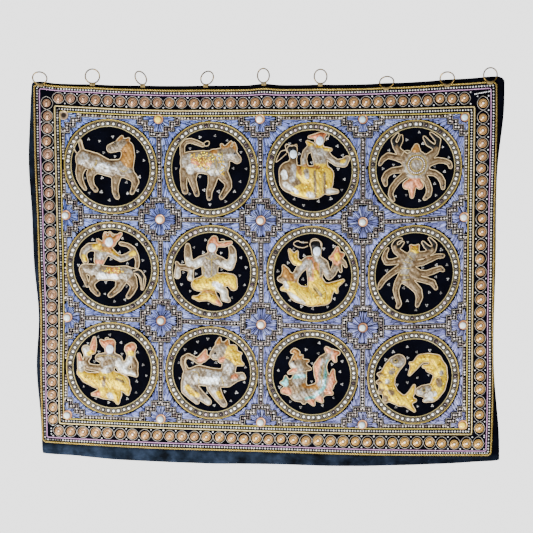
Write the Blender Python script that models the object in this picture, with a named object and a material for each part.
"""A kalaga: an embroidered wall hanging with twelve padded zodiac medallions, glass cabochons, a border of
coiled roundels and nine brass rings. It hangs in the XZ plane with its face towards -Y. The origin is the
middle of its top edge. Units are metres, and the figures' tables are in millimetres."""

import math

import bmesh
import bpy
import numpy as np
from mathutils import Matrix
from mathutils.geometry import delaunay_2d_cdt

MM = 0.001

# The flat panel: u runs across from the left edge, and v runs down from the top edge.
COLUMN_WIDTHS = (0.2083, 0.2149, 0.2179, 0.2241)
COLUMNS = len(COLUMN_WIDTHS)
ROWS = 3
CELL_HEIGHT = 0.2204
MARGIN = {"left": 0.0125, "right": 0.0110, "top": 0.0110, "bottom": 0.0277}
BORDER = {"left": 0.0503, "right": 0.0562, "top": 0.0558, "bottom": 0.0526}
ROPE_LEFT = MARGIN["left"]
FIELD_LEFT = ROPE_LEFT + BORDER["left"]
FIELD_RIGHT = FIELD_LEFT + sum(COLUMN_WIDTHS)
ROPE_RIGHT = FIELD_RIGHT + BORDER["right"]
PANEL_WIDTH = ROPE_RIGHT + MARGIN["right"]
ROPE_TOP = MARGIN["top"]
FIELD_TOP = ROPE_TOP + BORDER["top"]
FIELD_BOTTOM = FIELD_TOP + ROWS * CELL_HEIGHT
ROPE_BOTTOM = FIELD_BOTTOM + BORDER["bottom"]
PANEL_HEIGHT = ROPE_BOTTOM + MARGIN["bottom"]

CLOTH_THICK = 0.0022
HEM_THICK = 0.0032
HEM_WIDTH = 0.0085
HEM_STEP = 0.0001  # the hem's thickness ends this far short of the sheet's next line
CORNER_RADIUS = 0.010
CLOTH_STEP_ACROSS = 0.042  # at most, between the sheet's lines, which also pass each ring's foot
CLOTH_COURSES = 10
FOOT_COURSES = 4
SEAT = 0.0003  # the gap under everything that is sewn on
SEARCH_STEPS = 400
JOIN_WITHIN = 1e-6  # mm, points this close are one

# How far the sides have drawn in or out, course by course: the height of the course down the flat cloth,
# then where its edges, its rope and its field lie as it hangs, in mm from the middle.
#        down  edge_l  rope_l field_l field_r  rope_r  edge_r
SIDES = (
    (0.000, -503.7, -498.4, -445.0, 427.0, 485.6, 503.3),
    (0.067, -507.2, -497.6, -444.1, 426.9, 485.9, 501.2),
    (0.172, -510.2, -495.7, -441.6, 426.0, 483.7, 489.3),
    (0.287, -503.7, -490.5, -439.2, 425.1, 480.7, 485.6),
    (0.396, -499.1, -487.3, -436.9, 424.3, 479.5, 483.9),
    (0.507, -489.9, -483.3, -435.6, 423.4, 477.5, 481.0),
    (0.620, -493.7, -483.9, -436.6, 422.8, 477.8, 481.6),
    (0.728, -485.4, -481.4, -435.8, 422.2, 475.6, 490.0),
    (0.808, -481.6, -479.3, -433.5, 421.7, 471.4, 491.8),
)

# How far the cloth drops, course by course: the height of the course down the flat cloth, then its height
# as it hangs at the left edge, the quarters and the right edge, in mm from the middle of the top edge.
#        down    left quarter  middle  three_q   right
DROPS = (
    (0.0000, 4.0, -1.9, -0.6, 2.6, 18.5),
    (0.0110, -1.5, -11.7, -11.3, -8.3, 6.0),
    (0.0668, -53.7, -65.0, -65.4, -64.3, -57.5),
    (0.2872, -274.1, -285.6, -289.0, -291.4, -276.3),
    (0.5076, -492.5, -501.4, -510.8, -517.0, -508.4),
    (0.7280, -707.6, -718.9, -726.8, -732.3, -732.7),
    (0.7806, -758.7, -772.6, -780.0, -787.5, -789.1),
    (0.8083, -783.2, -802.6, -808.3, -811.8, -801.3),
)

# The long soft waves of the whole cloth: rise in mm, then the length across and down, and the shift.
SWAY = (
    (2.0, 0.64, 2.4, 0.5),
    (1.2, 0.47, -1.5, 2.1),
)

# The main creases of the plain margins, which fade out before the rope: the middle across and down, the
# half-widths, and the rise in mm towards the viewer.
#    name               u      v    half_u half_v rise
FOLDS = (
    ("left_roll_back", 0.0000, 0.500, 0.0085, 0.110, -5.0),
    ("left_swell", 0.0000, 0.200, 0.0085, 0.110, 3.0),
    ("right_roll_high", 0.9952, 0.250, 0.0085, 0.120, -5.0),
    ("right_roll_low", 0.9952, 0.540, 0.0085, 0.130, -6.0),
    ("right_flap_top", 0.9952, 0.050, 0.0085, 0.060, 4.0),
    ("right_flap_foot", 0.9952, 0.750, 0.0085, 0.060, 6.0),
    ("foot_crease_1", 0.030, 0.8083, 0.030, 0.024, 6.0),
    ("foot_crease_2", 0.085, 0.8083, 0.032, 0.024, -5.0),
    ("foot_crease_3", 0.160, 0.8083, 0.048, 0.024, 5.0),
    ("foot_crease_4", 0.270, 0.8083, 0.066, 0.024, -3.5),
    ("foot_crease_5", 0.385, 0.8083, 0.055, 0.024, 5.0),
    ("foot_crease_6", 0.510, 0.8083, 0.070, 0.024, -3.5),
    ("foot_crease_7", 0.635, 0.8083, 0.060, 0.024, 4.0),
    ("foot_crease_8", 0.765, 0.8083, 0.070, 0.024, -4.0),
    ("foot_crease_9", 0.890, 0.8083, 0.055, 0.024, 5.0),
)

# The brass rings, from left to right: the place across where its foot is sewn, in mm, the turn and the
# forward lean in degrees, what it is sewn to, and how far it pulls the cloth up, in mm.
#    number x_mm   turn  lean  sewn_to  pull
RINGS = (
    (1, -484.8, 0.0, 37.0, "rope", 3.5),
    (2, -375.1, 5.0, 8.0, "edge", 0.8),
    (3, -267.6, -38.0, 27.0, "edge", 0.5),
    (4, -134.2, 33.0, 26.0, "edge", 0.5),
    (5, -10.0, -34.0, 6.0, "edge", 3.4),
    (6, 110.4, 25.0, 5.0, "edge", 0.8),
    (7, 249.6, 4.0, 44.0, "rope", 1.0),
    (8, 379.5, -4.0, 34.0, "rope", 0.8),
    (9, 471.1, 12.0, 8.0, "rope", 1.0),
)
RING_RADIUS = 0.0151
RING_WIRE = 0.0014
RING_SEGMENTS = 16
RING_WIRE_SEGMENTS = 5
RING_SEAT = 0.0006
PULL_HALF_WIDTH = 0.022
PULL_REACH = 0.040

ROPE_RADIUS = 0.0022
ROPE_SEAT = 0.0005
ROPE_STEP = 0.050
ROPE_BEND = 0.006

# The medallions' rims: the distance from the medallion's middle and the height above the cloth.
RIM_PROFILE = ((0.0826, 0.0), (0.0839, 0.0022), (0.0900, 0.0012), (0.0968, 0.0025), (0.0991, 0.0))
RIM_SIDES = 24
MEDALLION_TALL = 1.015
# How far each medallion lies from the middle of its cell, across and down, in mm.
MEDALLION_SHIFTS = (
    (0.9, 2.4), (2.1, 3.1), (2.1, 5.0), (-0.9, 1.4),
    (1.2, -0.7), (1.9, 0.9), (1.4, 0.2), (-2.8, 0.5),
    (0.1, -2.6), (1.9, -1.7), (0.2, -2.1), (-2.8, 0.0),
)

# A cabochon's turned form: radius and height, from the cloth up to its flat crown.
CABOCHON_PROFILE = ((0.0101, 0.0), (0.0101, 0.0026), (0.0076, 0.0030), (0.0046, 0.0060))
CABOCHON_SIDES = 8
CABOCHON_INSET = 0.0080

# The border's chains of roundels: how many, and how far the first and the last lie past the field's ends.
#    side      count first    last
CHAINS = (
    ("top", 34, 0.0020, -0.0097),
    ("bottom", 35, 0.0125, 0.0265),
    ("left", 26, 0.0155, 0.0030),
    ("right", 26, 0.0175, -0.0010),
)
CHAIN_PLACE = 0.51  # between the field, at 0, and the rope, at 1
ROUNDEL_HALF = 0.0128
ROUNDEL_SHOULDER = 0.0058
ROUNDEL_RISE = 0.0030
NECK_HALF = 0.0034
NECK_RISE = 0.0014
CHAIN_SLOPE = 0.0012

# The padded figures, each drawn on its medallion in mm from the middle. A limb is a row of places from end
# to end, and each place is how far across, how far up and the limb's half-width there.
HORSE = (
    ("back", (-54, 12, 19), (-32, 9, 17), (-6, -1, 14), (25, -3, 18)),
    ("neck", (33, 6, 15), (38, 24, 13), (36, 41, 13)),
    ("head", (28, 49, 11), (17, 44, 10), (1, 38, 8)),
    ("ear_near", (20, 56, 4), (26, 65, 2)),
    ("ear_far", (33, 54, 4), (40, 61, 2)),
    ("hind_leg_far", (-62, -4, 9), (-66, -16, 7), (-66, -28, 5), (-61, -40, 4), (-54, -51, 2)),
    ("hind_leg_near", (-36, -8, 10), (-43, -18, 7), (-43, -31, 5), (-39, -43, 4), (-32, -51, 4)),
    ("foreleg_near", (12, -20, 9), (9, -38, 6), (9, -53, 5), (13, -64, 4)),
    ("foreleg_raised", (37, -14, 10), (47, -20, 8), (53, -30, 6), (49, -42, 4), (44, -54, 3)),
    ("chest_front", (30, -4, 14), (36, -8, 12)),
    ("belly", (-34, 0, 13), (8, -10, 13)),
    ("tail", (-58, 28, 3), (-62, 42, 3), (-64, 57, 2)),
)
BULL = (
    ("back", (-42, 14, 22), (-16, 15, 23), (14, 11, 25)),
    ("hump", (6, 33, 8), (13, 33, 8)),
    ("neck", (22, 27, 16), (38, 32, 14)),
    ("head", (42, 33, 12), (56, 20, 8)),
    ("ear", (28, 42, 4), (23, 52, 2)),
    ("horn_near", (35, 45, 4), (44, 57, 2)),
    ("horn_far", (52, 42, 4), (50, 54, 2)),
    ("hind_leg_far", (-56, -4, 9), (-58, -20, 6), (-58, -36, 5), (-55, -47, 5)),
    ("hind_leg_near", (-40, -8, 11), (-40, -22, 7), (-34, -40, 5), (-30, -53, 4)),
    ("foreleg_near", (5, -14, 10), (2, -31, 7), (-4, -48, 5), (-4, -61, 4)),
    ("foreleg_bent", (27, -14, 11), (36, -27, 7), (37, -37, 6), (30, -47, 5), (22, -59, 4)),
    ("tail", (-60, 30, 4), (-60, 48, 4), (-53, 58, 4), (-42, 60, 4), (-30, 56, 4), (-16, 50, 3)),
)
TWINS = (
    ("man_hat", (-8, 69, 2), (8, 71, 5), (20, 74, 6), (28, 76, 3)),
    ("man_head", (14, 62, 9), (16, 65, 9)),
    ("man_chest", (15, 48, 8), (12, 36, 14), (17, 16, 13)),
    ("man_wing_left", (-3, 52, 6), (-12, 60, 2)),
    ("man_wing_right", (28, 43, 5), (40, 43, 2)),
    ("man_arm_left", (-2, 48, 7), (-15, 38, 5), (-19, 24, 5), (-17, 10, 6)),
    ("man_arm_right", (27, 37, 6), (37, 25, 6), (51, 16, 6), (66, 16, 8), (73, 25, 5)),
    ("man_skirt", (17, 11, 13), (17, -8, 22), (10, -32, 21)),
    ("man_hip", (30, -8, 14), (28, -26, 14)),
    ("man_foot", (32, -42, 7), (52, -43, 3)),
    ("woman_hair", (-47, 43, 7), (-40, 44, 7)),
    ("woman_head", (-42, 34, 8), (-41, 28, 7)),
    ("woman_dress", (-42, 16, 8), (-50, -4, 21), (-46, -22, 24)),
    ("dress_hem", (-36, -38, 14), (-12, -44, 14), (6, -44, 13)),
    ("skirts_meeting", (-30, -8, 17), (0, -12, 20)),
)
CRAB = (
    ("shell", (1, 7, 28), (1, 4, 28)),
    ("head", (1, 37, 9), (2, 45, 5)),
    ("tail_left", (-6, -28, 8), (-18, -35, 8)),
    ("tail_middle", (-6, -30, 8), (-7, -46, 6), (-7, -60, 3)),
    ("tail_right", (2, -27, 8), (10, -37, 7)),
    ("claw_arm_left", (-22, 24, 7), (-35, 35, 6), (-41, 44, 5)),
    ("claw_left_outer", (-43, 46, 4), (-47, 58, 4), (-37, 72, 2)),
    ("claw_left_inner", (-36, 48, 4), (-31, 58, 4), (-30, 68, 2)),
    ("claw_arm_right", (26, 20, 8), (41, 31, 6), (45, 40, 5)),
    ("claw_right_outer", (46, 43, 4), (48, 57, 5), (32, 72, 2)),
    ("claw_right_inner", (39, 43, 4), (27, 51, 5), (18, 64, 2)),
    ("leg_left_1", (-25, 18, 7), (-45, 24, 5), (-58, 27, 5), (-69, 20, 4), (-76, 8, 2)),
    ("leg_left_2", (-25, -2, 6), (-49, -4, 5), (-61, -11, 5), (-66, -21, 5), (-63, -33, 3)),
    ("leg_left_3", (-20, -12, 6), (-38, -26, 5), (-49, -40, 5), (-53, -52, 4), (-47, -66, 3)),
    ("leg_right_1", (28, 9, 6), (48, 15, 5), (62, 13, 4), (72, 8, 4), (75, -1, 3)),
    ("leg_right_2", (24, -9, 6), (41, -12, 5), (52, -20, 5), (58, -31, 5), (59, -45, 3)),
    ("leg_right_3", (16, -16, 6), (26, -32, 5), (30, -46, 5), (28, -57, 5), (20, -65, 3)),
)
ARCHER = (
    ("horse_back", (-60, -3, 8), (-46, -6, 12), (-28, -11, 15), (0, -12, 14), (28, -12, 17)),
    ("foreleg_raised", (-64, -6, 6), (-62, -18, 5), (-57, -30, 4), (-54, -42, 2)),
    ("foreleg_near", (-38, -22, 10), (-46, -36, 5), (-42, -48, 5), (-32, -58, 4)),
    ("hind_leg_near", (18, -28, 10), (12, -44, 6), (1, -54, 5), (-6, -60, 4)),
    ("hind_leg_far", (40, -24, 11), (46, -38, 6), (40, -51, 5), (33, -61, 4)),
    ("tail", (44, -3, 4), (58, -8, 4), (66, -20, 4), (65, -34, 3), (63, -44, 2)),
    ("chest", (-28, 14, 10), (-24, 28, 13), (-17, 41, 12)),
    ("arm_drawing", (-34, 44, 8), (-48, 44, 7), (-59, 35, 6), (-62, 25, 6), (-57, 12, 5)),
    ("arm_aiming", (-6, 36, 9), (8, 26, 6), (19, 21, 6), (32, 26, 6), (43, 33, 6)),
    ("bow", (18, 54, 3), (34, 51, 3), (45, 43, 4), (51, 30, 4), (54, 16, 3), (52, 4, 3)),
    ("head", (-8, 54, 11), (-3, 57, 11)),
    ("crown", (-8, 65, 10), (6, 65, 7)),
    ("crown_points", (-13, 70, 4), (-14, 76, 2)),
    ("crown_point_middle", (-4, 72, 4), (-4, 77, 2)),
    ("ear_jewel", (10, 66, 5), (20, 76, 2)),
    ("collar_wing", (-24, 52, 5), (-31, 60, 2)),
)
SCALES_BEARER = (
    ("head", (1, 51, 10), (2, 55, 10)),
    ("cap", (4, 64, 10), (6, 70, 7)),
    ("cap_feather", (15, 59, 4), (28, 60, 5), (43, 64, 2)),
    ("chest", (0, 37, 8), (-3, 22, 17), (-4, 6, 16), (-4, -6, 15)),
    ("shoulders", (-22, 24, 9), (-2, 30, 10), (18, 23, 9)),
    ("arm_left", (-24, 22, 8), (-36, 16, 9), (-46, 14, 8),
     (-50, 28, 7), (-51, 45, 6), (-51, 56, 4)),
    ("arm_right", (22, 20, 8), (38, 14, 9), (45, 28, 7), (45, 45, 6), (41, 54, 4)),
    ("beam", (-46, 7, 6), (-56, 8, 5), (-70, 9, 4), (-76, 19, 2)),
    ("pan_left", (-73, 6, 4), (-74, -10, 6)),
    ("pan_right", (-44, 0, 4), (-46, -14, 6)),
    ("skirt", (-30, -28, 13), (-16, -26, 17), (4, -20, 18), (24, -17, 14)),
    ("thigh", (26, -14, 12), (41, -16, 12), (46, -30, 8)),
    ("skirt_foot", (-28, -58, 5), (-6, -48, 14), (6, -60, 8)),
    ("skirt_points", (-26, -58, 5), (-41, -56, 2)),
    ("skirt_point_right", (8, -61, 7), (18, -69, 3)),
    ("leg", (11, -33, 6), (26, -41, 7), (27, -55, 7), (35, -60, 4)),
)
MAIDEN = (
    ("head", (8, 51, 10), (8, 46, 9)),
    ("hair", (3, 62, 8), (11, 62, 8)),
    ("neck", (8, 38, 7), (8, 32, 8)),
    ("chest", (-6, 26, 11), (5, 14, 18), (4, -8, 14)),
    ("shoulder_right", (10, 28, 11), (23, 22, 9)),
    ("arm_left", (-12, 26, 9), (-29, 8, 7), (-38, -7, 6), (-40, -18, 5)),
    ("arm_right", (24, 20, 8), (30, 6, 7), (35, -4, 6), (43, 4, 6), (48, 16, 6)),
    ("flower", (52, 26, 8), (52, 38, 11)),
    ("petal_top", (52, 46, 6), (53, 56, 3)),
    ("petal_right", (58, 40, 6), (65, 43, 3)),
    ("petal_left", (46, 36, 6), (38, 35, 3)),
    ("flower_leaf_far", (60, 30, 4), (67, 26, 3), (71, 17, 2)),
    ("flower_leaf_near", (56, 24, 4), (60, 7, 2)),
    ("leaf_high", (-25, 21, 5), (-37, 26, 7), (-42, 34, 7), (-50, 50, 2)),
    ("leaf_high_point", (-38, 34, 6), (-33, 46, 2)),
    ("leaf_side", (-44, -12, 11), (-56, -6, 11), (-57, 5, 7), (-63, 16, 2)),
    ("leaf_side_lobe", (-58, -12, 10), (-70, -12, 5)),
    ("skirt_left", (-48, -24, 13), (-32, -42, 17), (-4, -48, 19), (24, -47, 16)),
    ("skirt_lap", (8, -22, 18), (14, -34, 21), (30, -32, 14)),
    ("skirt_train", (-52, -30, 8), (-66, -33, 3)),
    ("leaf_low", (40, -24, 7), (50, -20, 6), (66, -11, 2)),
    ("leaf_low_point", (46, -24, 6), (52, -37, 2)),
)
SCORPION = (
    ("head", (0, 50, 8), (2, 49, 8)),
    ("ear_left", (-3, 54, 4), (-8, 59, 2)),
    ("ear_right", (5, 54, 4), (9, 59, 2)),
    ("back", (-4, 38, 10), (-12, 28, 12), (-17, 15, 11), (-20, 2, 10), (-18, -9, 10)),
    ("tail", (-17, -10, 9), (-4, -21, 8), (9, -34, 7), (12, -48, 6), (7, -65, 3)),
    ("leg_left_low", (-26, -2, 7), (-35, -17, 6), (-39, -31, 5),
     (-36, -46, 4), (-31, -60, 4), (-35, -67, 3)),
    ("leg_left_mid", (-26, 18, 6), (-48, 4, 5), (-64, -9, 4), (-71, -18, 4), (-75, -27, 2)),
    ("arm_left", (-22, 32, 7), (-46, 27, 5), (-59, 27, 5),
     (-64, 36, 4), (-61, 47, 3), (-56, 55, 2)),
    ("claw_arm_left", (-20, 37, 7), (-38, 50, 6), (-42, 58, 5)),
    ("claw_left_outer", (-43, 61, 4), (-38, 71, 3), (-27, 73, 2)),
    ("claw_left_inner", (-36, 56, 4), (-29, 60, 3), (-23, 67, 2)),
    ("claw_arm_right", (6, 37, 7), (26, 39, 6), (39, 47, 6)),
    ("claw_right_outer", (42, 50, 4), (44, 58, 4), (32, 72, 2)),
    ("claw_right_inner", (35, 49, 4), (26, 55, 4), (18, 65, 2)),
    ("leg_right_high", (-4, 22, 6), (18, 23, 5), (34, 29, 5), (48, 34, 4), (62, 34, 3)),
    ("leg_right_mid", (-6, 13, 6), (12, 2, 5), (26, 0, 5), (43, 5, 5), (56, 9, 4), (63, 4, 2)),
    ("leg_right_low", (-10, 2, 7), (8, -9, 5), (26, -14, 5), (40, -19, 5), (47, -31, 3)),
)
WATER_BEARER = (
    ("head", (-5, 41, 10), (-5, 45, 10)),
    ("cap", (-8, 54, 9), (-2, 55, 8)),
    ("ear_jewel", (-16, 52, 6), (-25, 60, 2)),
    ("chest", (-3, 29, 9), (-7, 16, 17), (-11, -2, 14)),
    ("shoulders", (-27, 22, 8), (-6, 24, 10), (12, 20, 9)),
    ("arm_left", (-14, -2, 7), (-38, 0, 6), (-52, 2, 6), (-57, 14, 5), (-52, 24, 6)),
    ("jar", (-52, 26, 6), (-56, 40, 8)),
    ("jar_spout", (-42, 36, 6), (-40, 50, 6), (-38, 66, 2)),
    ("lifted_foot", (-66, -10, 6), (-67, 6, 6), (-69, 20, 4), (-71, 28, 3)),
    ("arm_right", (14, 14, 8), (22, 0, 10), (30, -4, 8), (50, -12, 3)),
    ("bird_neck", (26, 4, 7), (34, 14, 6), (40, 25, 7), (40, 34, 8)),
    ("bird_head", (38, 44, 11), (42, 48, 9)),
    ("bird_wing", (44, 22, 5), (49, 12, 6), (48, -3, 6), (52, -13, 3)),
    ("skirt_left", (-67, -12, 7), (-54, -22, 11), (-32, -27, 16), (-4, -26, 19)),
    ("skirt_right", (0, -24, 18), (20, -30, 17), (30, -42, 10), (34, -54, 3)),
    ("skirt_foot", (-16, -52, 14), (8, -56, 12), (12, -74, 3)),
    ("skirt_point", (-26, -55, 8), (-43, -58, 2)),
)
LION = (
    ("back", (-44, -12, 18), (-26, -7, 21), (0, -10, 19), (22, -11, 19)),
    ("neck", (36, 6, 14), (38, 22, 14)),
    ("mane", (46, 32, 16), (40, 48, 13), (46, 54, 8)),
    ("mane_point_high", (54, 42, 7), (63, 44, 2)),
    ("mane_point_low", (54, 26, 8), (68, 20, 2)),
    ("head", (22, 54, 13), (15, 46, 14), (7, 39, 10)),
    ("jaw", (24, 30, 6), (18, 26, 4)),
    ("ear_near", (14, 64, 6), (17, 76, 2)),
    ("ear_far", (31, 62, 6), (34, 72, 2)),
    ("tail", (-54, 2, 5), (-61, 16, 4), (-61, 28, 4), (-51, 35, 4), (-40, 30, 4), (-26, 22, 4)),
    ("tail_tuft", (-26, 26, 7), (-19, 31, 8), (-13, 48, 2)),
    ("tail_tuft_point", (-18, 32, 7), (-6, 34, 2)),
    ("hind_leg_far", (-54, -24, 10), (-54, -40, 10), (-40, -54, 8), (-31, -65, 4)),
    ("hind_leg_near", (-40, -38, 13), (-24, -51, 9), (-7, -64, 6)),
    ("foreleg_near", (4, -32, 13), (15, -52, 9), (26, -67, 6)),
    ("foreleg_raised", (34, -16, 13), (50, -9, 9), (64, -5, 7), (70, -9, 3)),
)
SEA_BEAST = (
    ("head", (-29, 25, 13), (-39, 25, 9)),
    ("trunk", (-37, 36, 6), (-33, 44, 5), (-31, 50, 5), (-37, 54, 5), (-43, 51, 3)),
    ("crest_1", (-26, 36, 5), (-21, 44, 2)),
    ("crest_2", (-20, 29, 6), (-8, 33, 2)),
    ("crest_3", (-18, 20, 7), (-4, 15, 3)),
    ("jaw", (-34, 12, 6), (-45, 7, 4), (-50, 4, 2)),
    ("neck", (-24, 12, 11), (-26, -6, 14), (-32, -22, 17)),
    ("chest", (-46, -22, 12), (-30, -26, 19), (-30, -38, 17)),
    ("front_fin", (-52, -20, 8), (-58, -18, 6), (-66, -17, 2)),
    ("front_fin_point", (-55, -14, 6), (-56, -3, 2)),
    ("foot", (-50, -34, 10), (-60, -35, 6)),
    ("belly", (-30, -40, 16), (-6, -40, 17), (16, -32, 16), (27, -17, 15)),
    ("tail", (27, -16, 15), (20, 3, 14), (17, 20, 13), (24, 35, 10), (36, 46, 7), (43, 51, 8)),
    ("tail_fin_high", (40, 51, 7), (31, 61, 4)),
    ("tail_fin_end", (44, 51, 8), (56, 52, 4)),
    ("tail_fin_low", (44, 48, 7), (50, 34, 3)),
    ("back_fin", (36, -20, 11), (42, -8, 8), (46, 14, 2)),
    ("back_fin_point", (40, -14, 9), (51, -12, 2)),
    ("belly_fin_1", (30, -32, 10), (43, -38, 3)),
    ("belly_fin_2", (12, -44, 10), (22, -56, 3)),
    ("belly_fin_3", (-4, -50, 9), (4, -63, 3)),
    ("belly_fin_4", (-18, -50, 8), (-17, -60, 3)),
)
FISH_LEFT = (
    ("head", (-32, 37, 14), (-38, 32, 16)),
    ("side", (-46, 22, 16), (-56, 3, 16), (-57, -18, 16),
     (-47, -38, 15), (-28, -50, 12), (-12, -50, 9)),
    ("tail_high", (-12, -46, 8), (-4, -34, 6), (2, -17, 2)),
    ("tail_middle", (-10, -50, 9), (4, -50, 3)),
    ("tail_low", (-16, -54, 8), (3, -73, 2)),
    ("fin_1", (-64, 6, 8), (-75, 8, 3)),
    ("fin_2", (-66, -10, 8), (-77, -10, 3)),
    ("fin_3", (-64, -26, 9), (-75, -33, 3)),
    ("fin_4", (-56, -42, 9), (-62, -55, 3)),
)
FISH_RIGHT = (
    ("tail_point", (2, 28, 6), (-8, 32, 2)),
    ("tail", (-9, 6, 2), (0, 22, 7), (15, 41, 9), (33, 43, 9), (48, 37, 12)),
    ("side", (48, 34, 12), (58, 19, 13), (58, -2, 15), (52, -22, 16), (42, -36, 15)),
    ("head", (34, -30, 14), (22, -30, 12), (14, -31, 9)),
    ("chin", (38, -44, 10), (24, -51, 3)),
    ("fin_high", (44, 22, 8), (22, 24, 3)),
    ("fin_low", (42, 14, 7), (30, 16, 3)),
)

# Which figures lie on which medallion, row by row from the top left.
MEDALLIONS = (
    ("horse", (("figure_horse", HORSE),)),
    ("bull", (("figure_bull", BULL),)),
    ("twins", (("figure_twins", TWINS),)),
    ("crab", (("figure_crab", CRAB),)),
    ("archer", (("figure_archer", ARCHER),)),
    ("scales_bearer", (("figure_scales_bearer", SCALES_BEARER),)),
    ("maiden", (("figure_maiden", MAIDEN),)),
    ("scorpion", (("figure_scorpion", SCORPION),)),
    ("water_bearer", (("figure_water_bearer", WATER_BEARER),)),
    ("lion", (("figure_lion", LION),)),
    ("sea_beast", (("figure_sea_beast", SEA_BEAST),)),
    ("fishes", (("figure_fish_left", FISH_LEFT), ("figure_fish_right", FISH_RIGHT))),
)
FIGURE_REACH = 84.0  # mm, the half-side of the square that a figure is drawn in
FIGURE_LIMIT = 82.0  # mm, the furthest that a figure reaches from its medallion's middle
OUTLINE_STEP = 1.5  # mm
OUTLINE_TOLERANCE = 0.9  # mm
LEAST_OPENING = 14.0  # square mm, a gap between limbs smaller than this is sewn shut
LIMB_BLEND = 1.2  # mm, how softly two limbs run into each other
PAD_SPACING = 8.0  # mm, between the points of a pad's crown
PAD_RIM_SPACING = 4.0  # mm, from those points to the outline's
PAD_EDGE_DEPTH = 2.2  # mm, how far inside the outline a crown's point has to lie
PAD_LIP = 0.0012
PAD_RISE = 0.0060
FULL_DEPTH = 18.0  # mm, how deep inside its outline a pad is at its full height

FINISHES = {
    "navy_velvet": ((0.010, 0.016, 0.045), 0.95, 0.0),
    "tinsel_cloth": ((0.42, 0.38, 0.31), 0.55, 0.35),
    "gold_thread": ((0.55, 0.40, 0.16), 0.45, 0.7),
    "copper_thread": ((0.52, 0.30, 0.16), 0.45, 0.6),
    "cabochon_glass": ((0.70, 0.72, 0.68), 0.15, 0.1),
    "brass": ((0.60, 0.46, 0.22), 0.30, 1.0),
}


def read_along(places, values, at):
    """A smooth curve through the values at the given places, read at each point of at."""
    places = np.asarray(places, float)
    values = np.asarray(values, float).reshape(len(places), -1)
    values = np.broadcast_to(values, (len(places), at.size))
    rates = np.gradient(values, places, axis=0)
    left = np.clip(np.searchsorted(places, at) - 1, 0, len(places) - 2)
    span = np.diff(places)[left]
    t = (at - places[left]) / span
    near, far = (np.take_along_axis(values, (left + k)[None], 0)[0] for k in (0, 1))
    rate_near, rate_far = (np.take_along_axis(rates, (left + k)[None], 0)[0] for k in (0, 1))
    return (
        (2 * t**3 - 3 * t**2 + 1) * near
        + (t**3 - 2 * t**2 + t) * span * rate_near
        + (3 * t**2 - 2 * t**3) * far
        + (t**3 - t**2) * span * rate_far
    )


def round_corners(u, v):
    """Draws the panel's four square corners in to arcs."""
    middle_u, middle_v = PANEL_WIDTH / 2, PANEL_HEIGHT / 2
    across, down = u - middle_u, v - middle_v
    p = np.clip((abs(across) - middle_u) / CORNER_RADIUS + 1, 0, 1)
    q = np.clip((abs(down) - middle_v) / CORNER_RADIUS + 1, 0, 1)
    across = across - np.sign(across) * CORNER_RADIUS * p * (1 - np.sqrt(1 - q**2 / 2))
    down = down - np.sign(down) * CORNER_RADIUS * q * (1 - np.sqrt(1 - p**2 / 2))
    return middle_u + across, middle_v + down


def hang(u, v, out=0.0):
    """Where points of the flat panel lie as it hangs, each out metres in front of the cloth's face."""
    u, v, out = (np.ravel(n) for n in np.broadcast_arrays(u, v, out))
    u, v = round_corners(u, v)
    courses, *sides = np.array(SIDES).T
    knots = np.array((0.0, ROPE_LEFT, FIELD_LEFT, FIELD_RIGHT, ROPE_RIGHT, PANEL_WIDTH))
    lines = np.array([read_along(courses, side, v) for side in sides])
    left = np.clip(np.searchsorted(knots, u) - 1, 0, len(knots) - 2)
    share = (u - knots[left]) / np.diff(knots)[left]
    near, far = (np.take_along_axis(lines, (left + k)[None], 0)[0] for k in (0, 1))
    x = MM * (near + share * (far - near))
    courses, *drops = np.array(DROPS).T
    drops = np.array([read_along(courses, drop, v) for drop in drops])
    z = MM * read_along(np.linspace(0, PANEL_WIDTH, len(drops)), drops, u)
    for _, ring_x, _, _, _, pull in RINGS:
        near_ring = np.exp(-(((x - MM * ring_x) / PULL_HALF_WIDTH) ** 2) - v / PULL_REACH)
        z = z + MM * pull * near_ring
    rise = sum(
        height * np.sin(2 * math.pi * (u / across + v / down) + shift)
        for height, across, down, shift in SWAY
    )
    for _, fold_u, fold_v, half_u, half_v, height in FOLDS:
        away = ((u - fold_u) / half_u) ** 2 + ((v - fold_v) / half_v) ** 2
        rise = rise + height * np.clip(1 - away, 0, 1) ** 2
    return np.stack([x, -MM * rise - out, z], axis=1)


def across_at(x, v):
    """The place across the flat panel, at a course v, that hangs at x."""
    u = np.linspace(0, PANEL_WIDTH, SEARCH_STEPS)
    return float(np.interp(x, hang(u, v)[:, 0], u))


def column_line(column):
    """Where a column of medallions starts, across the flat panel."""
    return FIELD_LEFT + sum(COLUMN_WIDTHS[:column])


def add_finish(name):
    """The material of this name, made the first time that it is asked for."""
    colour, roughness, metallic = FINISHES[name]
    material = bpy.data.materials.get(name)
    if material:
        return material
    material = bpy.data.materials.new(name)
    material.use_nodes = True
    shader = material.node_tree.nodes["Principled BSDF"]
    shader.inputs["Base Color"].default_value = (*colour, 1.0)
    shader.inputs["Roughness"].default_value = roughness
    shader.inputs["Metallic"].default_value = metallic
    return material


def add_piece(name, points, faces, finish, smooth=False):
    """One closed piece from its points and faces, with the faces turned outwards."""
    mesh = bpy.data.meshes.new(name)
    mesh.from_pydata([tuple(map(float, point)) for point in points], [], faces)
    shell = bmesh.new()
    shell.from_mesh(mesh)
    bmesh.ops.recalc_face_normals(shell, faces=shell.faces)
    if shell.calc_volume(signed=True) < 0:
        bmesh.ops.reverse_faces(shell, faces=shell.faces)
    shell.to_mesh(mesh)
    shell.free()
    mesh.materials.append(add_finish(finish))
    if smooth:
        mesh.shade_smooth()
    piece = bpy.data.objects.new(name, mesh)
    bpy.context.collection.objects.link(piece)
    return piece


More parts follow.
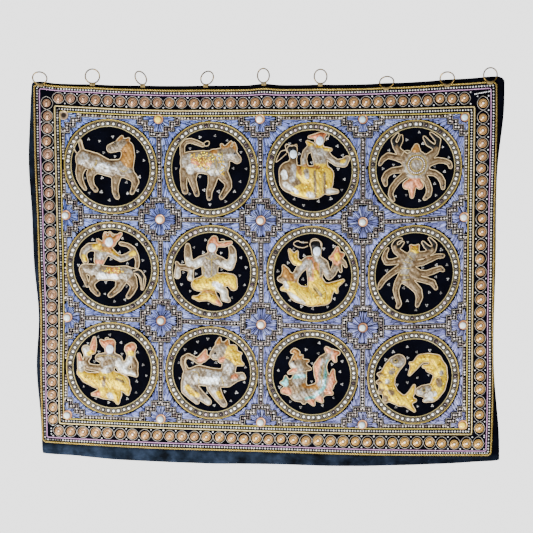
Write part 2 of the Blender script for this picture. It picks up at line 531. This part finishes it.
def joined_loops(loop_count, loop_size, closed):
    """Quads between successive loops of points, and also from the last to the first where closed."""
    faces = []
    for i in range(loop_count if closed else loop_count - 1):
        here, there = i * loop_size, (i + 1) % loop_count * loop_size
        for j in range(loop_size):
            k = (j + 1) % loop_size
            faces.append((here + j, here + k, there + k, there + j))
    return faces


def make_ground_cloth():
    """The velvet panel: a thin sheet on its folds, thicker along its turned hems."""
    lines_u = [0, HEM_WIDTH / 2, HEM_WIDTH]
    for stop in [across_at(MM * ring[1], 0.0) for ring in RINGS] + [PANEL_WIDTH - HEM_WIDTH]:
        count = math.ceil((stop - lines_u[-1]) / CLOTH_STEP_ACROSS)
        lines_u += list(np.linspace(lines_u[-1], stop, count + 1)[1:])
    lines_u += [PANEL_WIDTH - HEM_WIDTH / 2, PANEL_WIDTH]
    lines_v = [0, HEM_WIDTH / 2]
    lines_v += list(np.linspace(HEM_WIDTH, ROPE_BOTTOM, CLOTH_COURSES + 1))
    lines_v += list(np.linspace(ROPE_BOTTOM, PANEL_HEIGHT, FOOT_COURSES + 1)[1:])
    u, v = (n.ravel() for n in np.meshgrid(lines_u, lines_v, indexing="ij"))
    to_edge = np.minimum.reduce([u, PANEL_WIDTH - u, v, PANEL_HEIGHT - v])
    thick = np.where(to_edge < HEM_WIDTH - HEM_STEP, HEM_THICK, CLOTH_THICK)
    points = np.concatenate([hang(u, v), hang(u, v, -thick)])
    rows, columns, back = len(lines_v), len(lines_u), len(u)
    faces = []
    for i in range(columns - 1):
        for j in range(rows - 1):
            corner = i * rows + j
            quad = (corner, corner + 1, corner + rows + 1, corner + rows)
            faces.append(quad)
            faces.append(tuple(back + k for k in reversed(quad)))
    rim = list(range(rows))
    rim += [i * rows + rows - 1 for i in range(1, columns)]
    rim += [(columns - 1) * rows + j for j in range(rows - 2, -1, -1)]
    rim += [i * rows for i in range(columns - 2, 0, -1)]
    for here, there in zip(rim, rim[1:] + rim[:1]):
        faces.append((here, there, back + there, back + here))
    add_piece("ground_cloth", points, faces, "navy_velvet", smooth=True)


def rope_line():
    """The rope's course round the border, with its corners bent round."""
    bend = ROPE_BEND
    centres = (
        (ROPE_RIGHT - bend, ROPE_TOP + bend, -90),
        (ROPE_RIGHT - bend, ROPE_BOTTOM - bend, 0),
        (ROPE_LEFT + bend, ROPE_BOTTOM - bend, 90),
        (ROPE_LEFT + bend, ROPE_TOP + bend, 180),
    )
    line = []
    for i, (u, v, first) in enumerate(centres):
        for turn in (0, 45, 90):
            angle = math.radians(first + turn)
            line.append((u + bend * math.cos(angle), v + bend * math.sin(angle)))
        next_u, next_v, next_first = centres[(i + 1) % len(centres)]
        angle = math.radians(next_first)
        end = np.array((next_u + bend * math.cos(angle), next_v + bend * math.sin(angle)))
        start = np.array(line[-1])
        count = round(np.linalg.norm(end - start) / ROPE_STEP)
        line += [tuple(start + (end - start) * k / count) for k in range(1, count)]
    return np.array(line)


def make_rope():
    """The thick gold rope: a square-sectioned ring of cord laid on the cloth."""
    line = rope_line()
    along = np.roll(line, -1, axis=0) - np.roll(line, 1, axis=0)
    along /= np.linalg.norm(along, axis=1)[:, None]
    side = np.stack([-along[:, 1], along[:, 0]], axis=1)
    loops = []
    for sideways, out in ((-1, 0), (0, -1), (1, 0), (0, 1)):
        place = line + sideways * ROPE_RADIUS * side
        loops.append(hang(place[:, 0], place[:, 1], ROPE_SEAT + ROPE_RADIUS * (1 + out)))
    points = np.stack(loops, axis=1).reshape(-1, 3)
    add_piece("border_rope", points, joined_loops(len(line), 4, closed=True), "gold_thread", smooth=True)


def make_chain(side, count, before, after):
    """One side's row of roundels, each a low drum, joined at the necks where their cords cross."""
    if side in ("top", "bottom"):
        first, last = FIELD_LEFT - before, FIELD_RIGHT + after
        edge = FIELD_TOP if side == "top" else FIELD_BOTTOM
    else:
        first, last = FIELD_TOP - before, FIELD_BOTTOM + after
        edge = FIELD_LEFT if side == "left" else FIELD_RIGHT
    outwards = -1 if side in ("top", "left") else 1
    line = edge + outwards * CHAIN_PLACE * BORDER[side]
    pitch = (last - first) / (count - 1)
    stations = [(first - ROUNDEL_HALF, NECK_HALF, NECK_RISE)]
    for i in range(count):
        middle = first + i * pitch
        stations.append((middle - ROUNDEL_SHOULDER, ROUNDEL_HALF, ROUNDEL_RISE))
        stations.append((middle + ROUNDEL_SHOULDER, ROUNDEL_HALF, ROUNDEL_RISE))
        end = ROUNDEL_HALF if i == count - 1 else pitch / 2
        stations.append((middle + end, NECK_HALF, NECK_RISE))
    points = []
    for along, half, rise in stations:
        for sideways, out in (
            (-half, SEAT),
            (half, SEAT),
            (half - CHAIN_SLOPE, SEAT + rise),
            (CHAIN_SLOPE - half, SEAT + rise),
        ):
            u, v = (along, line + sideways) if side in ("top", "bottom") else (line + sideways, along)
            points.append((u, v, out))
    faces = joined_loops(len(stations), 4, closed=False)
    last_loop = 4 * (len(stations) - 1)
    faces += [(0, 1, 2, 3), tuple(last_loop + k for k in (3, 2, 1, 0))]
    add_piece(f"border_chain_{side}", hang(*np.array(points).T), faces, "copper_thread")


def turned(profile, sides, u, v, tall=1.0):
    """Loops of a turned form about a place on the cloth, one for each place round it."""
    angles = np.arange(sides) * 2 * math.pi / sides
    radius, out = np.array(profile).T
    around_u = u + np.outer(np.cos(angles), radius)
    around_v = v + tall * np.outer(np.sin(angles), radius)
    return hang(around_u, around_v, np.broadcast_to(out + SEAT, around_u.shape))


def make_rim(name, u, v):
    """A medallion's rim: two cords with a shallow trough between them for the sequins."""
    points = turned(RIM_PROFILE, RIM_SIDES, u, v, MEDALLION_TALL)
    faces = joined_loops(RIM_SIDES, len(RIM_PROFILE), closed=True)
    add_piece(f"rim_{name}", points, faces, "gold_thread", smooth=True)


def make_cabochon(row, column):
    """A glass cabochon in its coiled bezel. Those at the field's edge are set a little inside it."""
    u = min(max(column_line(column), FIELD_LEFT + CABOCHON_INSET), FIELD_RIGHT - CABOCHON_INSET)
    v = min(max(FIELD_TOP + row * CELL_HEIGHT, FIELD_TOP + CABOCHON_INSET), FIELD_BOTTOM - CABOCHON_INSET)
    points = turned(CABOCHON_PROFILE, CABOCHON_SIDES, u, v)
    height = len(CABOCHON_PROFILE)
    faces = []
    for i in range(CABOCHON_SIDES):
        here, there = i * height, (i + 1) % CABOCHON_SIDES * height
        faces += [(here + k, there + k, there + k + 1, here + k + 1) for k in range(height - 1)]
    faces.append(tuple(i * height for i in range(CABOCHON_SIDES)))
    faces.append(tuple(i * height + height - 1 for i in reversed(range(CABOCHON_SIDES))))
    add_piece(f"cabochon_row{row + 1}_col{column + 1}", points, faces, "cabochon_glass")


def depth_in_limb(limb, across, up):
    """How far inside one limb each point lies, in mm, and below nought outside it."""
    depth = np.full(np.shape(across), -np.inf)
    for start, end in zip(limb[1:], limb[2:]):
        run = np.subtract(end[:2], start[:2]).astype(float)
        t = ((across - start[0]) * run[0] + (up - start[1]) * run[1]) / max(run @ run, 1e-9)
        t = np.clip(t, 0, 1)
        gap = np.hypot(across - start[0] - t * run[0], up - start[1] - t * run[1])
        depth = np.maximum(depth, start[2] + t * (end[2] - start[2]) - gap)
    return depth


def depth_in_figure(limbs, across, up):
    """How far inside a whole figure each point lies, with its limbs run softly into each other."""
    depths = np.array([depth_in_limb(limb, across, up) for limb in limbs])
    most = depths.max(axis=0)
    joined = most + LIMB_BLEND * np.log(np.exp((depths - most) / LIMB_BLEND).sum(axis=0))
    return np.minimum(joined, FIGURE_LIMIT - np.hypot(across, up))


def outlines(limbs):
    """The closed lines round a figure, found square by square, with the figure on their left."""
    ticks = np.arange(-FIGURE_REACH, FIGURE_REACH + OUTLINE_STEP, OUTLINE_STEP)
    depth = depth_in_figure(limbs, *np.meshgrid(ticks, ticks, indexing="ij"))
    inside = depth > 0
    mixed = inside[:-1, :-1].astype(int) + inside[1:, :-1] + inside[1:, 1:] + inside[:-1, 1:]
    after = {}
    for i, j in np.argwhere((mixed > 0) & (mixed < 4)):
        corners = [(i, j), (i + 1, j), (i + 1, j + 1), (i, j + 1)]
        crossings = []
        for here, there in zip(corners, corners[1:] + corners[:1]):
            if inside[here] != inside[there]:
                crossings.append((bool(inside[here]), tuple(sorted((here, there)))))
        if not crossings[0][0]:
            crossings = crossings[1:] + crossings[:1]
        for leaving, entering in zip(crossings[::2], crossings[1::2]):
            after[leaving[1]] = entering[1]
    loops = []
    while after:
        edge = next(iter(after))
        loop = []
        while edge in after:
            (a, b), edge = edge, after.pop(edge)
            share = depth[a] / (depth[a] - depth[b])
            loop.append([ticks[a[k]] + share * (ticks[b[k]] - ticks[a[k]]) for k in (0, 1)])
        loops.append(np.array(loop))
    return loops


def area_of(loop):
    """The area inside a loop, above nought where it runs anticlockwise."""
    return 0.5 * float(np.sum(loop[:, 0] * np.roll(loop[:, 1], -1) - loop[:, 1] * np.roll(loop[:, 0], -1)))


def fewer_points(loop, tolerance):
    """The loop with only the points that its shape needs."""

    def needed(first, last):
        chord = loop[last % len(loop)] - loop[first]
        between = np.arange(first + 1, last)
        if not len(between):
            return []
        offset = loop[between] - loop[first]
        away = abs(chord[0] * offset[:, 1] - chord[1] * offset[:, 0]) / max(np.hypot(*chord), 1e-9)
        far = int(away.argmax())
        if away[far] < tolerance:
            return []
        middle = int(between[far])
        return needed(first, middle) + [middle] + needed(middle, last)

    half = int(np.hypot(*(loop - loop[0]).T).argmax())
    return loop[[0] + needed(0, half) + [half] + needed(half, len(loop))]


def crown_points(limbs, taken):
    """Points for a pad's crown: along its limbs first, then between them where the pad is broad."""
    wished = []
    for limb in limbs:
        for start, end in zip(limb[1:], limb[2:]):
            run = np.subtract(end[:2], start[:2])
            steps = max(1, round(float(np.hypot(*run)) / PAD_SPACING))
            wished += [start[:2] + run * k / steps for k in range(steps + 1)]
    ticks = np.arange(-FIGURE_REACH, FIGURE_REACH, PAD_SPACING)
    wished += [np.array((x + PAD_SPACING / 2 * (j % 2), y)) for x in ticks for j, y in enumerate(ticks)]
    wished = np.array(wished)
    from_rim = np.hypot(*(wished[:, None] - taken[None]).transpose(2, 0, 1)).min(axis=1)
    deep = depth_in_figure(limbs, *wished.T) > PAD_EDGE_DEPTH
    crown = []
    for place in wished[deep & (from_rim > PAD_RIM_SPACING)]:
        if not crown or np.hypot(*(np.array(crown) - place).T).min() > PAD_SPACING:
            crown.append(place)
    return crown


def triangles_inside(loops, crown):
    """Triangles that fill the space between closed loops, over their points and the crown's."""
    points = np.concatenate(list(loops) + ([np.array(crown)] if crown else []))
    edges = []
    first = 0
    for loop in loops:
        edges += [(first + k, first + (k + 1) % len(loop)) for k in range(len(loop))]
        first += len(loop)
    places, _, faces, origin, _, _ = delaunay_2d_cdt([tuple(p) for p in points], edges, [], 0, JOIN_WITHIN)
    kept = []
    for face in faces:
        middle = np.mean([places[k] for k in face], axis=0)
        crossings = 0
        for loop in loops:
            a, b = loop, np.roll(loop, -1, axis=0)
            spans = (a[:, 1] > middle[1]) != (b[:, 1] > middle[1])
            at = a[:, 0] + (middle[1] - a[:, 1]) * (b[:, 0] - a[:, 0]) / np.where(spans, b[:, 1] - a[:, 1], 1)
            crossings += int(np.sum(spans & (at > middle[0])))
        if crossings % 2:
            kept.append([origin[k][0] for k in face])
    return points, kept


def make_figure(name, limbs, u, v):
    """A padded figure: its outline filled over stuffing, highest where its limbs are broad."""
    loops = [loop for loop in outlines(limbs) if abs(area_of(loop)) > LEAST_OPENING]
    loops = [fewer_points(loop, OUTLINE_TOLERANCE) for loop in loops]
    rim = np.concatenate(loops)
    crown = crown_points(limbs, rim)
    points, top = triangles_inside(loops, crown)
    _, bottom = triangles_inside(loops, [])
    depth = np.clip(depth_in_figure(limbs, points[:, 0], points[:, 1]) / FULL_DEPTH, 0, 1)
    depth[: len(rim)] = 0
    out = SEAT + PAD_LIP + PAD_RISE * np.sqrt(depth)
    over = hang(u + MM * points[:, 0], v - MM * points[:, 1], out)
    under = hang(u + MM * rim[:, 0], v - MM * rim[:, 1], SEAT)
    back = len(points)
    faces = [tuple(face) for face in top] + [tuple(back + k for k in reversed(face)) for face in bottom]
    first = 0
    for loop in loops:
        size = len(loop)
        for k in range(size):
            here, there = first + k, first + (k + 1) % size
            faces.append((there, here, back + here, back + there))
        first += size
    add_piece(name, np.concatenate([over, under]), faces, "tinsel_cloth")


def make_brass_ring(number, x_mm, turn, lean, sewn_to):
    """A brass ring, standing on the top edge or sewn over the rope and leaning forward."""
    if sewn_to == "edge":
        foot = hang(across_at(MM * x_mm, 0.0), 0.0, -HEM_THICK / 2)[0] + (0, 0, RING_SEAT + RING_WIRE)
    else:
        rope_front = ROPE_SEAT + 2 * ROPE_RADIUS
        foot = hang(across_at(MM * x_mm, ROPE_TOP), ROPE_TOP, rope_front + RING_SEAT + RING_WIRE)[0]
    name = f"brass_ring_{number}"
    bpy.ops.mesh.primitive_torus_add(
        major_radius=RING_RADIUS,
        minor_radius=RING_WIRE,
        major_segments=RING_SEGMENTS,
        minor_segments=RING_WIRE_SEGMENTS,
    )
    ring = bpy.context.object
    ring.name = ring.data.name = name
    upright = Matrix.Rotation(math.radians(90), 4, "X")
    tilt = Matrix.Rotation(math.radians(turn), 4, "Z") @ Matrix.Rotation(math.radians(lean), 4, "X")
    rest = Matrix.Translation(foot) @ tilt @ Matrix.Translation((0, 0, RING_RADIUS)) @ upright
    ring.matrix_world = rest
    ring.data.materials.append(add_finish("brass"))
    ring.data.shade_smooth()


def main():
    for old in list(bpy.data.objects):
        bpy.data.objects.remove(old, do_unlink=True)
    make_ground_cloth()
    make_rope()
    for chain in CHAINS:
        make_chain(*chain)
    for index, (name, figures) in enumerate(MEDALLIONS):
        row, column = divmod(index, COLUMNS)
        across, down = MEDALLION_SHIFTS[index]
        u = column_line(column) + COLUMN_WIDTHS[column] / 2 + MM * across
        v = FIELD_TOP + (row + 0.5) * CELL_HEIGHT + MM * down
        make_rim(name, u, v)
        for figure, limbs in figures:
            make_figure(figure, limbs, u, v)
    for row in range(ROWS + 1):
        for column in range(COLUMNS + 1):
            make_cabochon(row, column)
    for number, x_mm, turn, lean, sewn_to, _ in RINGS:
        make_brass_ring(number, x_mm, turn, lean, sewn_to)


main()
